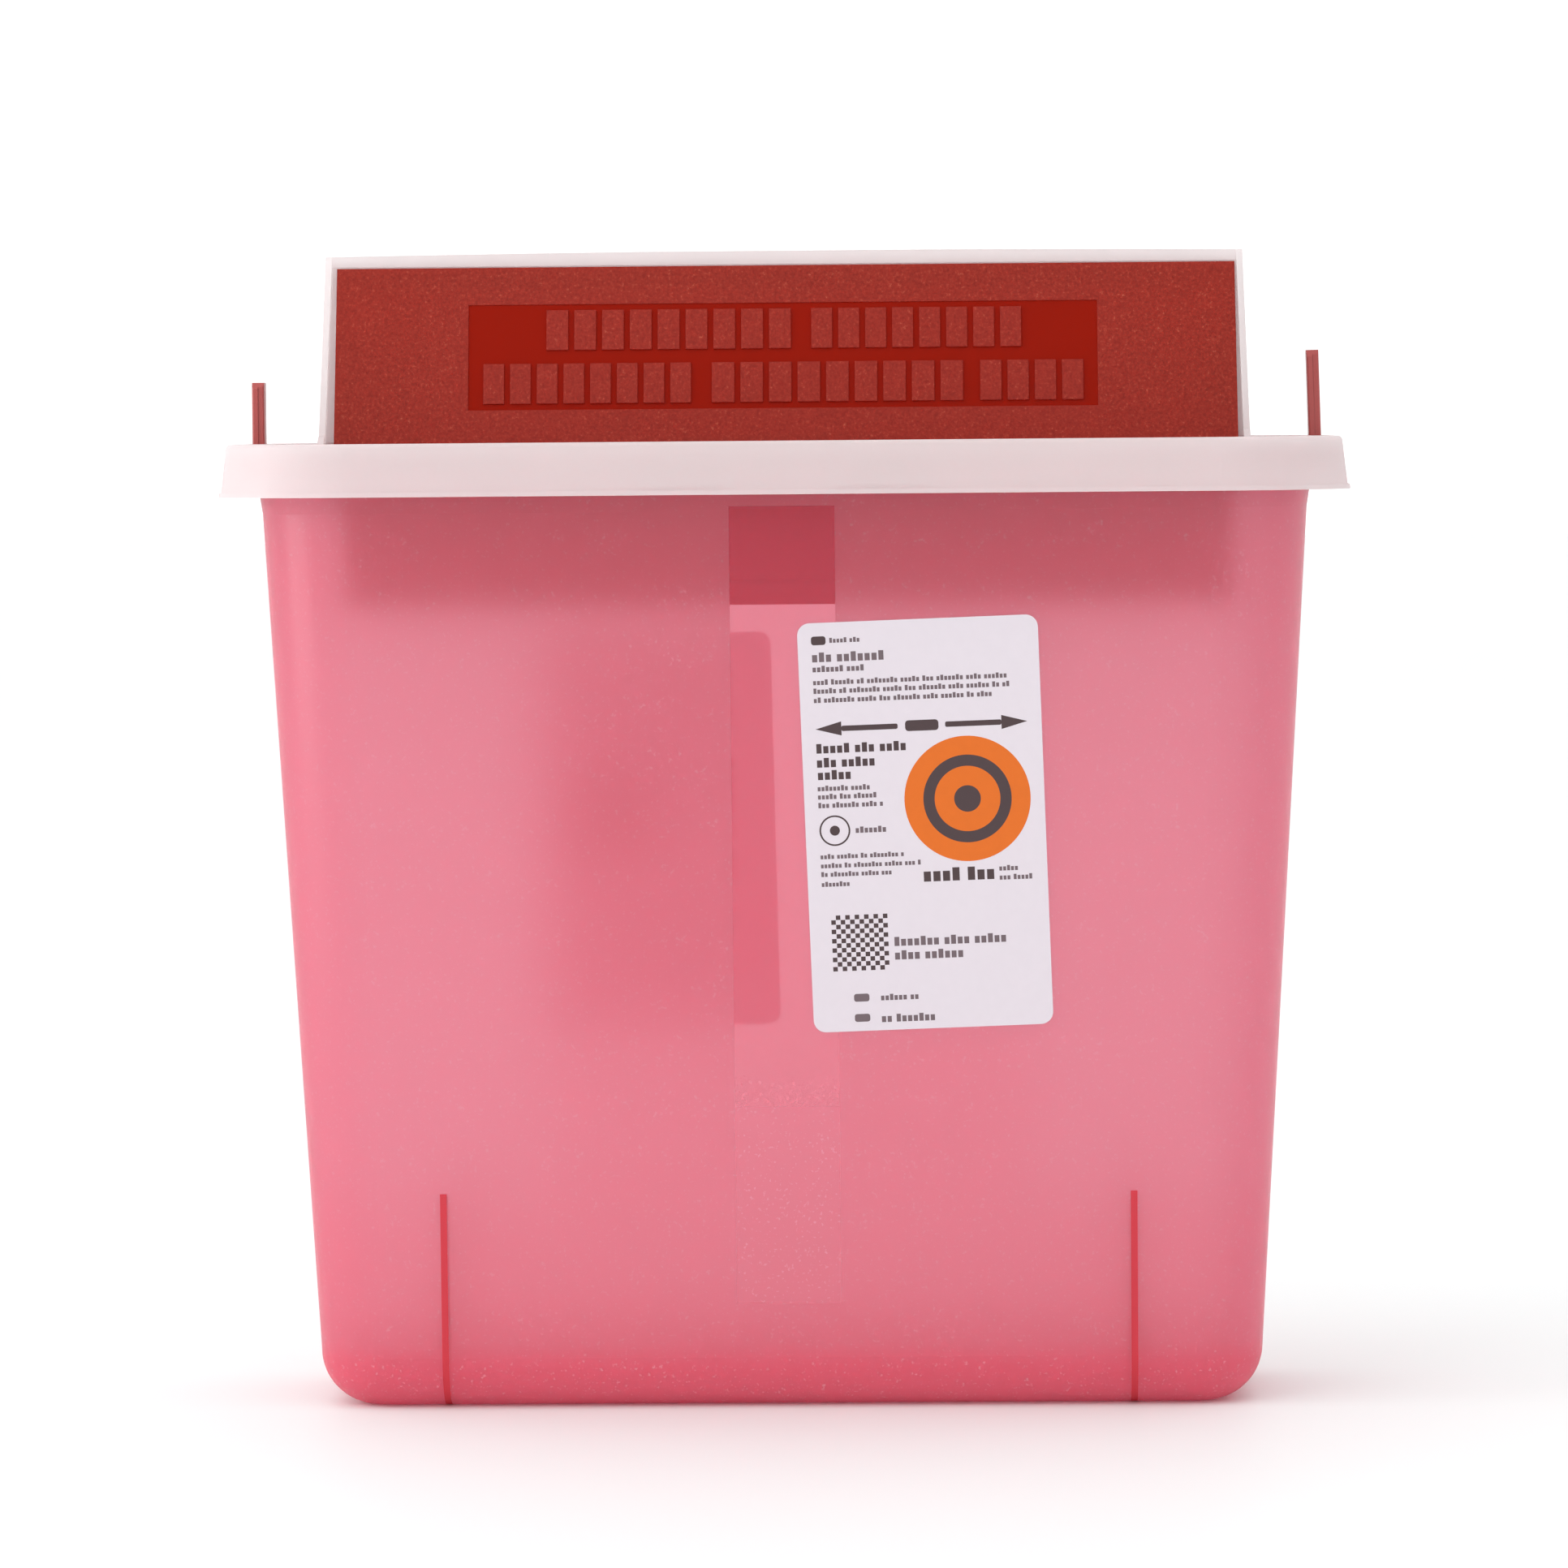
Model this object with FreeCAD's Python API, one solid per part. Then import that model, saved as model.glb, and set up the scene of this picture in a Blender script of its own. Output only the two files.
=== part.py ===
# Wall-mount style sharps container, 5 quart size, about 274 x 121 x 281 mm.
# A tapered translucent tub carries a snap-fitted frosted lid.  The lid has a hood whose mouth is closed by a
# counterbalanced drop tray: its panel fills the mouth, its heavier wing hangs inside the tub, and it turns on
# two moulded stub axles.  Two lock pins stand in slots at the ends of the lid and slide down to lock it.
# Frame: origin at the centre of the tub's bottom, +Z up, -Y is the front (the mouth), millimetres.
import FreeCAD, Part
import math
import os
from FreeCAD import Vector

# ---- driving dimensions -------------------------------------------------------------------------------------
# Tub: half sizes grow with height by the moulding draft.
TUB_HALF_X = 114.2          # at the bottom
TUB_HALF_Y = 37.7
DRAFT = 0.0565              # growth of each half size per mm of height
TUB_CORNER_BOTTOM = 16.0    # plan corner radius
TUB_CORNER_TOP = 24.0
TUB_TOP = 232.7
TUB_WALL = 1.7
TUB_FLOOR = 2.0
TUB_EDGE = 13.5             # outer radius where the walls meet the bottom
RIM_FLANGE = 2.0            # thickness of the flange round the mouth
RIM_REACH = 5.6             # how far the flange stands out from the wall
RIM_LIP = 1.3               # thickness of the flange's turned-down lip
RIM_LIP_BOTTOM = 226.0
FLARE_HEIGHT = 10.0         # the wall thickens under the rim
FLARE_OUT = 0.5
FOOT_RECESS = (170.0, 26.0, 0.8)     # shallow recess in the bottom that leaves a foot ring
RIB_X = 83.5                # nesting ribs inside the front and rear walls
RIB_WIDTH = 1.6
RIB_TOP = 53.0
RIB_DEPTHS = (1.8, 3.6)     # how far a rib stands in from the wall at its top and at the floor
STRIP_WIDTH = 25.3          # polished viewing strip down the front wall
STRIP_BOTTOM = 26.0
STRIP_TOP = 218.9
STRIP_DEPTH = 0.15
LUG_X = 24.0                # snap lugs on the front and rear of the rim
LUG_WIDTH = 21.0
LUG_OUT = 0.6
LUG_BOTTOM = 224.2
LUG_TOP = 230.0

# Lid
LID_TOP = 234.5
LID_HALF_X = 135.0          # at the top; the skirt flares to the bead below
LID_HALF_Y = 58.3
LID_CORNER = 30.0
SKIRT_BOTTOM = 221.8
SKIRT_FLARE = 1.5
SKIRT_WALL = 1.5
BEAD_OUT = 0.5
BEAD_HEIGHT = 1.1
LID_WALL = 1.7
LID_EDGE = 1.2              # rounding of the lid's outer top edge
PLUG_GAP = 0.3              # between the plug wall and the tub
PLUG_WALL = 1.5
PLUG_BOTTOM = 224.5
DECK_TOP = 229.0
DECK_WALL = 1.6
LEDGE_TOP = 223.9           # snap ledges inside the skirt, just under the tub's lugs
LEDGE_HEIGHT = 1.4
LEDGE_IN = 1.7

# Drop tray, at rest with its panel closed.  Its pivot is the row's one hinge.
PIVOT_Y = -24.0
PIVOT_Z = 231.0
PANEL_LEAN = 14.0           # degrees back from upright
PANEL_LENGTH = 47.26        # from the pivot to the panel's top edge
PANEL_WALL = 1.8
PANEL_HALF_TOP = 109.4
PANEL_HALF_BOTTOM = 109.8
TRAY_SHIFT = 0.4            # the tray sits to one side in its end play
WING_TUCK = 30.0            # degrees back from straight down
WING_LENGTH = 42.0          # from the pivot to the far side of the counterweight bead
WING_WALL = 2.0
WING_HALF = 108.9
BEAD_RADIUS = 3.6           # solid bead along the wing's free edge: the counterweight
HUB_RADIUS = 3.4
AXLE_RADIUS = 2.5
AXLE_GAP = 0.06             # radial running clearance in the hood's side walls
AXLE_END = 113.9
CHEEK_RADIUS = 30.0
CHEEK_HALF = 106.0          # the cheeks' outer faces, inside the hood's side flanges
CHEEK_WALL = 1.6
GLOSS_WIDTH = 153.1         # polished field on the panel, with raised blocks
GLOSS_HEIGHT = 26.4
GLOSS_CENTRE = 24.65        # along the panel from the pivot
GLOSS_X = -0.6              # the field sits this far off the panel's middle
GLOSS_DEPTH = 0.25
BLOCK_HEIGHT = 10.0
BLOCK_RAISE = 0.55
BLOCK_ROW_GAP = 3.4
BLOCK_GAP = 1.5
# Each row is a list of (left end, width, number of blocks).
BLOCK_ROWS = (((-57.5, 59.5, 9), (7.0, 51.0, 8)),
              ((-72.8, 50.5, 8), (-17.2, 61.0, 9), (48.0, 25.0, 4)))

# Hood
HOOD_HALF_TOP = 111.75      # outer half width at the roof
HOOD_SIDE_DRAFT = 0.028
HOOD_WALL = 1.5
HOOD_TOP = 280.7
HOOD_CROWN = 0.7            # the roof's middle stands this much over its ends
HOOD_BACK_Y = 22.2          # outer face of the back wall
HOOD_LIP_Y = -12.6          # front edge of the roof
HOOD_LIP_BOTTOM = 277.4     # the roof's front edge is thickened down to here
STOP_FROM = 42.2            # along the panel: the flange behind its top edge that it closes against
SIDE_STOP_FROM = 4.2        # the same flange goes down behind the panel's side edges to here
SIDE_STOP_HALF = 107.2
STOP_WALL = 1.4
STOP_GAP = 0.1
HOOD_FRONT_PROUD = 0.7      # side walls stand this far in front of the panel
HOOD_ROOF_DROP = 3.0        # the roof falls towards the back
HOOD_BACK_EDGE = 6.0        # rounding of the roof's back edge
HOOD_EAR = 5.4              # radius of the side wall round the pivot
HOOD_BOTTOM = 221.0
AXLE_SLOT = 4.4             # snap-in slot under each axle hole
THROAT_GAP = 0.9            # deck edge to tray hub

# Lock pins
PIN_X = 129.77
PIN_WIDTH = 3.0
PIN_DEPTH = 6.0
PIN_LENGTH = 25.5
PIN_TOP = {"left": 249.6, "right": 255.45}
PIN_LEAN = {"left": 0.0, "right": 1.6}     # degrees inwards, within the slots' play
PIN_LEAN_Z = 232.0
PIN_GAP = 0.3               # sliding clearance in the slots
PIN_STEP = 0.25             # one half of the front and back faces is set back
PIN_BEVEL = 0.35            # along the upright edges
PIN_SLOPE = (1.5, 0.8)      # slope over the top of the front and back faces: height, depth

# Labels
LABEL_WIDTH = 57.7
LABEL_HEIGHT = 99.0
LABEL_CORNER = 3.0
LABEL_WALL = 0.15
LABEL_LIFT = 0.02           # adhesive film under the label
LABELS = {"front_label": (33.85, 142.2, 1.9, 0.0), "rear_label": (-33.6, 136.0, 1.15, 180.0)}

PIVOT = Vector(0, PIVOT_Y, PIVOT_Z)
X_AXIS = Vector(1, 0, 0)
Z_AXIS = Vector(0, 0, 1)


# ---- helpers ------------------------------------------------------------------------------------------------
def box(x0, x1, y0, y1, z0, z1):
    return Part.makeBox(x1 - x0, y1 - y0, z1 - z0, Vector(x0, y0, z0))


def rounded_outline(half_x, half_y, radius, z):
    """A closed rounded rectangle in the plane at height z."""
    ix, iy, diagonal = half_x - radius, half_y - radius, radius * math.sqrt(0.5)
    edges = []
    corners = [(1, 1), (-1, 1), (-1, -1), (1, -1)]
    for i, (sx, sy) in enumerate(corners):
        nx, ny = corners[(i + 1) % 4]
        across = sx * sy > 0
        start = Vector(sx * half_x, sy * iy, z) if across else Vector(sx * ix, sy * half_y, z)
        middle = Vector(sx * (ix + diagonal), sy * (iy + diagonal), z)
        end = Vector(sx * ix, sy * half_y, z) if across else Vector(sx * half_x, sy * iy, z)
        onward = Vector(nx * ix, ny * half_y, z) if across else Vector(nx * half_x, ny * iy, z)
        edges.append(Part.Arc(start, middle, end).toShape())
        edges.append(Part.LineSegment(end, onward).toShape())
    return Part.Wire(edges)


def rounded_block(bottom, top):
    """A solid between two rounded outlines, each given as (half_x, half_y, radius, z)."""
    return Part.makeLoft([rounded_outline(*bottom), rounded_outline(*top)], True, True)


def extruded_profile(points, half_x):
    """A prism across X whose section is a closed polygon of (y, z) points."""
    wire = Part.makePolygon([Vector(-half_x, y, z) for y, z in points + points[:1]])
    return Part.Face(wire).extrude(Vector(2 * half_x, 0, 0))


def cylinder_x(radius, x0, x1, y, z):
    return Part.makeCylinder(radius, x1 - x0, Vector(x0, y, z), X_AXIS)


def from_pivot(along, normal, lean):
    """(y, z) of a point given along and normal to a line that leaves the pivot at an angle back from upright."""
    a = math.radians(lean)
    return (PIVOT_Y + along * math.sin(a) - normal * math.cos(a),
            PIVOT_Z + along * math.cos(a) + normal * math.sin(a))


def leaning(shape):
    """Takes a shape drawn on an upright panel standing on the pivot and leans it back as the panel leans."""
    shape.rotate(PIVOT, X_AXIS, -PANEL_LEAN)
    return shape


# ---- tub ----------------------------------------------------------------------------------------------------
def tub_size(z, inset=0.0):
    """(half_x, half_y, corner radius, z) of the tub's outer wall at a height, or of a wall inset from it."""
    grown = DRAFT * z
    radius = TUB_CORNER_BOTTOM + (TUB_CORNER_TOP - TUB_CORNER_BOTTOM) * z / TUB_TOP
    return TUB_HALF_X + grown - inset, TUB_HALF_Y + grown - inset, radius - inset, z


def bottom_edges(solid, z):
    return [e for e in solid.Edges if abs(e.BoundBox.ZMin - z) < 1e-4 and abs(e.BoundBox.ZMax - z) < 1e-4]


def tub_shell():
    outer = rounded_block(tub_size(0), tub_size(TUB_TOP))
    outer = outer.makeFillet(TUB_EDGE, bottom_edges(outer, 0))
    inner = rounded_block(tub_size(TUB_FLOOR, TUB_WALL), tub_size(TUB_TOP + 1, TUB_WALL))
    inner = inner.makeFillet(TUB_EDGE - TUB_WALL, bottom_edges(inner, TUB_FLOOR))
    return outer, inner


def tub_rim():
    """Flare, flange and turned-down lip round the mouth, with the snap lugs."""
    low = TUB_TOP - FLARE_HEIGHT
    flare = rounded_block(tub_size(low - 5), tub_size(low, -FLARE_OUT))
    collar = rounded_block(tub_size(low, -FLARE_OUT), tub_size(TUB_TOP - RIM_FLANGE, -FLARE_OUT))
    flange = rounded_block(tub_size(TUB_TOP - RIM_FLANGE, -RIM_REACH), tub_size(TUB_TOP, -RIM_REACH))
    lip = rounded_block(tub_size(RIM_LIP_BOTTOM, -RIM_REACH), tub_size(TUB_TOP - RIM_FLANGE, -RIM_REACH))
    lip = lip.cut(rounded_block(tub_size(RIM_LIP_BOTTOM - 1, RIM_LIP - RIM_REACH),
                                tub_size(TUB_TOP - RIM_FLANGE, RIM_LIP - RIM_REACH)))
    face = tub_size(LUG_TOP, -RIM_REACH)[1]
    lugs = [box(x - LUG_WIDTH / 2, x + LUG_WIDTH / 2, *sorted((s * (face - 1.2), s * (face + LUG_OUT))),
                LUG_BOTTOM, LUG_TOP) for x in (-LUG_X, LUG_X) for s in (-1, 1)]
    return flare.multiFuse([collar, flange, lip] + lugs)


def pin_slot(z0, z1):
    """The two end slots for the lock pins, as solids to cut."""
    half = PIN_WIDTH / 2 + PIN_GAP
    reach = PIN_DEPTH / 2 + PIN_GAP
    return [box(s * PIN_X - half, s * PIN_X + half, -reach, reach, z0, z1) for s in (-1, 1)]


def nesting_ribs():
    """Four upright ribs inside the front and rear walls that deepen towards the floor."""
    ribs = []
    low, high = TUB_FLOOR - 0.5, RIB_TOP
    wall_low, wall_high = tub_size(low, TUB_WALL)[1], tub_size(high, TUB_WALL)[1]
    for s in (-1, 1):
        points = [(s * (wall_low - RIB_DEPTHS[1]), low), (s * (wall_high - RIB_DEPTHS[0]), high - 1.5),
                  (s * (wall_high + 0.3), high), (s * (wall_low + 0.3), low)]
        for x in (-RIB_X, RIB_X):
            wire = Part.makePolygon([Vector(x - RIB_WIDTH / 2, y, z) for y, z in points + points[:1]])
            ribs.append(Part.Face(wire).extrude(Vector(RIB_WIDTH, 0, 0)))
    return ribs


def container_body():
    outer, inner = tub_shell()
    shell = outer.fuse(tub_rim()).cut(inner)
    ribs = [rib.common(outer) for rib in nesting_ribs()]
    shell = shell.multiFuse(ribs)
    shell = shell.cut(pin_slot(RIM_LIP_BOTTOM - 3, TUB_TOP + 1))
    length, width, depth = FOOT_RECESS
    shell = shell.cut(rounded_block((length / 2, width / 2, 6, -1), (length / 2, width / 2, 6, depth)))
    strip = box(-STRIP_WIDTH / 2, STRIP_WIDTH / 2, -3, STRIP_DEPTH, STRIP_BOTTOM, STRIP_TOP)
    strip.rotate(Vector(0, 0, 0), X_AXIS, math.degrees(math.atan(DRAFT)))
    strip.translate(Vector(0, -TUB_HALF_Y, 0))
    return shell.cut(strip).removeSplitter()


# ---- lid ----------------------------------------------------------------------------------------------------
def lid_size(z, inset=0.0):
    """(half_x, half_y, corner radius, z) of the skirt's outer face at a height, or inset from it."""
    flare = SKIRT_FLARE * (LID_TOP - z) / (LID_TOP - SKIRT_BOTTOM)
    return LID_HALF_X + flare - inset, LID_HALF_Y + flare - inset, LID_CORNER + flare - inset, z


def lid_rim():
    """Skirt with its bead, the channel that sits over the tub's rim, and the plug wall inside the tub."""
    outer = rounded_block(lid_size(SKIRT_BOTTOM), lid_size(LID_TOP))
    top = [e for e in outer.Edges if abs(e.BoundBox.ZMin - LID_TOP) < 1e-4]
    outer = outer.makeFillet(LID_EDGE, top)
    bead = rounded_block(lid_size(SKIRT_BOTTOM, -BEAD_OUT), lid_size(SKIRT_BOTTOM + BEAD_HEIGHT, -BEAD_OUT))
    plug_z = (PLUG_BOTTOM, LID_TOP - LID_WALL)
    plug = rounded_block(*(tub_size(z, TUB_WALL + PLUG_GAP) for z in plug_z))
    hollow = rounded_block(lid_size(SKIRT_BOTTOM - 1, SKIRT_WALL), lid_size(LID_TOP - LID_WALL, SKIRT_WALL))
    above = rounded_block(tub_size(DECK_TOP, TUB_WALL + PLUG_GAP + PLUG_WALL),
                          tub_size(LID_TOP + 1, TUB_WALL + PLUG_GAP + PLUG_WALL))
    below = rounded_block(tub_size(PLUG_BOTTOM - 1, TUB_WALL + PLUG_GAP + PLUG_WALL),
                          tub_size(DECK_TOP - DECK_WALL, TUB_WALL + PLUG_GAP + PLUG_WALL))
    return outer.fuse(bead).cut(hollow.cut(plug)).cut(above).cut(below)


def snap_ledges():
    """Ledges inside the skirt that catch under the tub's lugs."""
    half_y = lid_size(LEDGE_TOP, SKIRT_WALL)[1]
    return [box(x - LUG_WIDTH / 2, x + LUG_WIDTH / 2, *sorted((s * (half_y - LEDGE_IN), s * (half_y + 0.6))),
                LEDGE_TOP - LEDGE_HEIGHT, LEDGE_TOP) for x in (-LUG_X, LUG_X) for s in (-1, 1)]


def hood_profile(inset):
    """Side outline of the hood as (y, z) points, from the front foot round over the roof to the back foot."""
    back = HOOD_BACK_Y - inset
    roof_front = HOOD_TOP - inset
    edge = HOOD_BACK_EDGE - inset
    turns = [math.radians(15 * k) for k in range(7)]
    arc = [(back - edge + edge * math.sin(a), roof_front - HOOD_ROOF_DROP - edge + edge * math.cos(a))
           for a in turns]
    if inset:
        front = [(-60, HOOD_BOTTOM - inset), (-60, roof_front), (HOOD_LIP_Y, roof_front)]
    else:
        foot_y, foot_z = from_pivot(0, PANEL_WALL / 2 + HOOD_FRONT_PROUD, PANEL_LEAN)
        lean = math.tan(math.radians(PANEL_LEAN))
        front = [(foot_y + (z - foot_z) * lean, z) for z in (HOOD_BOTTOM, HOOD_TOP)]
    return front + arc + [(back, HOOD_BOTTOM - inset)]


def hood_width(inset):
    """The hood's front outline, drafted at the sides and crowned at the roof, as a long prism along Y."""
    low_z, high_z = HOOD_BOTTOM - 5, HOOD_TOP - inset
    half_high = HOOD_HALF_TOP - inset
    half_low = half_high + HOOD_SIDE_DRAFT * (high_z - low_z)
    left_low, right_low = Vector(-half_low, -80, low_z), Vector(half_low, -80, low_z)
    left_high = Vector(-half_high, -80, high_z - HOOD_CROWN)
    right_high = Vector(half_high, -80, high_z - HOOD_CROWN)
    edges = [Part.LineSegment(left_low, right_low).toShape(),
             Part.LineSegment(right_low, right_high).toShape(),
             Part.Arc(right_high, Vector(0, -80, high_z), left_high).toShape(),
             Part.LineSegment(left_high, left_low).toShape()]
    return Part.Face(Part.Wire(edges)).extrude(Vector(0, 160, 0))


def hood():
    """Side walls, roof and back wall, with the thickened front lip and the flange behind the panel's edges."""
    solid = extruded_profile(hood_profile(0), 130).fuse(cylinder_x(HOOD_EAR, -130, 130, PIVOT_Y, PIVOT_Z))
    solid = solid.common(hood_width(0))
    inside = extruded_profile(hood_profile(HOOD_WALL), 130).common(hood_width(HOOD_WALL))
    lip = box(-130, 130, HOOD_LIP_Y, HOOD_LIP_Y + 2.5, HOOD_LIP_BOTTOM, HOOD_TOP)
    front = PIVOT_Y + PANEL_WALL / 2 + STOP_GAP
    frame = box(-130, 130, front, front + STOP_WALL, PIVOT_Z + SIDE_STOP_FROM, HOOD_TOP + 0.4)
    window = box(-SIDE_STOP_HALF, SIDE_STOP_HALF, front - 1, front + STOP_WALL + 1, PIVOT_Z, PIVOT_Z + STOP_FROM)
    shell = solid.cut(inside).fuse(lip.fuse(leaning(frame.cut(window))).common(solid))
    inner_half = HOOD_HALF_TOP - HOOD_WALL
    return shell.cut(box(-inner_half, inner_half, -80, HOOD_LIP_Y, HOOD_LIP_BOTTOM, HOOD_TOP + 5))


def axle_seats():
    """Round axle holes through the hood's side walls, each with a narrower slot that opens downwards."""
    cuts = []
    for x0, x1 in ((-120, -105), (105, 120)):
        cuts.append(cylinder_x(AXLE_RADIUS + AXLE_GAP, x0, x1, PIVOT_Y, PIVOT_Z))
        cuts.append(box(x0, x1, PIVOT_Y - AXLE_SLOT / 2, PIVOT_Y + AXLE_SLOT / 2, HOOD_BOTTOM - 1, PIVOT_Z))
    return cuts


def lid():
    inner_half = HOOD_HALF_TOP - HOOD_WALL + HOOD_SIDE_DRAFT * (HOOD_TOP - DECK_TOP)
    throat = box(-inner_half, inner_half, PIVOT_Y - HUB_RADIUS - THROAT_GAP, HOOD_BACK_Y - HOOD_WALL,
                 DECK_TOP - DECK_WALL - 1, DECK_TOP + 1)
    plate = lid_rim().cut(throat)
    shape = plate.multiFuse([hood()] + snap_ledges())
    shape = shape.cut(axle_seats()).cut(pin_slot(LID_TOP - LID_WALL - 1, LID_TOP + 1))
    return shape.removeSplitter()


# ---- drop tray ----------------------------------------------------------------------------------------------
def tray_panel():
    """The panel, tapered towards its top, with its recessed polished field and raised blocks."""
    half_wall = PANEL_WALL / 2
    outline = [Vector(-PANEL_HALF_BOTTOM, PIVOT_Y - half_wall, PIVOT_Z),
               Vector(PANEL_HALF_BOTTOM, PIVOT_Y - half_wall, PIVOT_Z),
               Vector(PANEL_HALF_TOP, PIVOT_Y - half_wall, PIVOT_Z + PANEL_LENGTH),
               Vector(-PANEL_HALF_TOP, PIVOT_Y - half_wall, PIVOT_Z + PANEL_LENGTH)]
    panel = Part.Face(Part.makePolygon(outline + outline[:1])).extrude(Vector(0, PANEL_WALL, 0))
    face_y, middle = PIVOT_Y - half_wall, PIVOT_Z + GLOSS_CENTRE
    panel = panel.cut(box(GLOSS_X - GLOSS_WIDTH / 2, GLOSS_X + GLOSS_WIDTH / 2, face_y - 1, face_y + GLOSS_DEPTH,
                          middle - GLOSS_HEIGHT / 2, middle + GLOSS_HEIGHT / 2))
    floor = face_y + GLOSS_DEPTH
    blocks = []
    for row, words in enumerate(BLOCK_ROWS):
        z0 = middle + (BLOCK_ROW_GAP / 2 if row == 0 else -BLOCK_ROW_GAP / 2 - BLOCK_HEIGHT)
        for left, width, count in words:
            pitch = (width + BLOCK_GAP) / count
            for i in range(count):
                x0 = GLOSS_X + left + i * pitch
                blocks.append(box(x0, x0 + pitch - BLOCK_GAP, floor - BLOCK_RAISE, floor + 0.4,
                                  z0, z0 + BLOCK_HEIGHT))
    return leaning(panel.multiFuse(blocks))


def tray_wing():
    """The wing and its counterweight bead, hanging down and back from the pivot."""
    lean = 180 - WING_TUCK
    reach = WING_LENGTH - BEAD_RADIUS
    half = WING_WALL / 2
    wing = extruded_profile([from_pivot(0, half, lean), from_pivot(reach, half, lean),
                             from_pivot(reach, -half, lean), from_pivot(0, -half, lean)], WING_HALF)
    bead = cylinder_x(BEAD_RADIUS, -WING_HALF, WING_HALF, *from_pivot(reach, 0, lean))
    return wing.fuse(bead)


def tray_cheeks():
    """Sector plates at the tray's ends, between the panel and the wing, on the inner side."""
    sweep = 180 - WING_TUCK - PANEL_LEAN
    cheeks = []
    for side in (-1, 1):
        x0 = -CHEEK_HALF if side < 0 else CHEEK_HALF - CHEEK_WALL
        sector = Part.makeCylinder(CHEEK_RADIUS, CHEEK_WALL, Vector(x0, PIVOT_Y, PIVOT_Z), X_AXIS, sweep)
        # makeCylinder starts its sector at a fixed direction, so it is turned until it begins at the wing.
        middle = sector.CenterOfMass - PIVOT
        now = math.degrees(math.atan2(middle.z, middle.y))
        wanted = (90 - PANEL_LEAN + WING_TUCK - 90) / 2
        sector.rotate(Vector(0, PIVOT_Y, PIVOT_Z), X_AXIS, wanted - now)
        cheeks.append(sector)
    return cheeks


def drop_tray():
    hub = cylinder_x(HUB_RADIUS, -PANEL_HALF_BOTTOM, PANEL_HALF_BOTTOM, PIVOT_Y, PIVOT_Z)
    axles = cylinder_x(AXLE_RADIUS, -AXLE_END, AXLE_END, PIVOT_Y, PIVOT_Z)
    tray = hub.multiFuse([axles, tray_panel(), tray_wing()] + tray_cheeks()).removeSplitter()
    tray.translate(Vector(TRAY_SHIFT, 0, 0))
    return tray


# ---- lock pins and labels -----------------------------------------------------------------------------------
def lock_pin(side):
    """A pin with sloped ends to its front and back faces; one half of each face is stepped back."""
    sign = -1 if side == "left" else 1
    top = PIN_TOP[side]
    half_width, half_depth = PIN_WIDTH / 2, PIN_DEPTH / 2
    pin = box(-half_width, half_width, -half_depth, half_depth, top - PIN_LENGTH, top)
    for s in (-1, 1):
        pin = pin.cut(box(0, PIN_WIDTH, *sorted((s * (half_depth - PIN_STEP), s * (half_depth + 1))),
                          top - PIN_LENGTH - 1, top + 1))
    pin = pin.makeChamfer(PIN_BEVEL, [e for e in pin.Edges if e.BoundBox.ZLength > 1
                                      and abs(abs(e.CenterOfMass.x) - half_width) < 1e-4])
    height, depth = PIN_SLOPE
    for s in (-1, 1):
        wedge = [(s * half_depth, top - height), (s * (half_depth + 1), top - height), (s * (half_depth + 1), top + 1),
                 (s * (half_depth - depth * (height + 1) / height), top + 1)]
        pin = pin.cut(extruded_profile(wedge, PIN_WIDTH))
    pin.translate(Vector(sign * PIN_X, 0, 0))
    pin.rotate(Vector(sign * PIN_X, 0, PIN_LEAN_Z), Vector(0, 1, 0), -sign * PIN_LEAN[side])
    return pin


def label(x, z, tilt, turn):
    """A thin rounded plate on the drafted wall: centre x and z, tilt in its own plane, turn about Z."""
    plate = rounded_block((LABEL_WIDTH / 2, LABEL_HEIGHT / 2, LABEL_CORNER, 0),
                          (LABEL_WIDTH / 2, LABEL_HEIGHT / 2, LABEL_CORNER, LABEL_WALL))
    side = 1 if turn == 0 else -1
    plate.rotate(Vector(0, 0, 0), Z_AXIS, tilt * side)
    plate.rotate(Vector(0, 0, 0), X_AXIS, 90 + math.degrees(math.atan(DRAFT)))
    wall = TUB_HALF_Y + DRAFT * z
    plate.translate(Vector(side * x, -wall - LABEL_LIFT, z))
    plate.rotate(Vector(0, 0, 0), Z_AXIS, turn)
    return plate


def main():
    os.makedirs("parts", exist_ok=True)
    nodes = {"container_body": container_body(), "lid": lid(), "drop_tray": drop_tray(),
             "lock_pin_left": lock_pin("left"), "lock_pin_right": lock_pin("right")}
    for name, place in LABELS.items():
        nodes[name] = label(*place)
    for name, shape in nodes.items():
        solids = shape.Solids
        print(name, len(solids), "solid(s), valid", shape.isValid(), "volume", round(shape.Volume, 1))
        (solids[0] if len(solids) == 1 else shape).exportStep(f"parts/{name}.step")


main()
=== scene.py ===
# Look of the sharps container: materials, print on the labels, studio floor, lights and camera.
# Everything is in metres in the CAD frame: +Z up, -Y the front, origin under the middle of the tub.
import math
import bmesh
import bpy
from mathutils import Matrix, Vector


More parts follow.
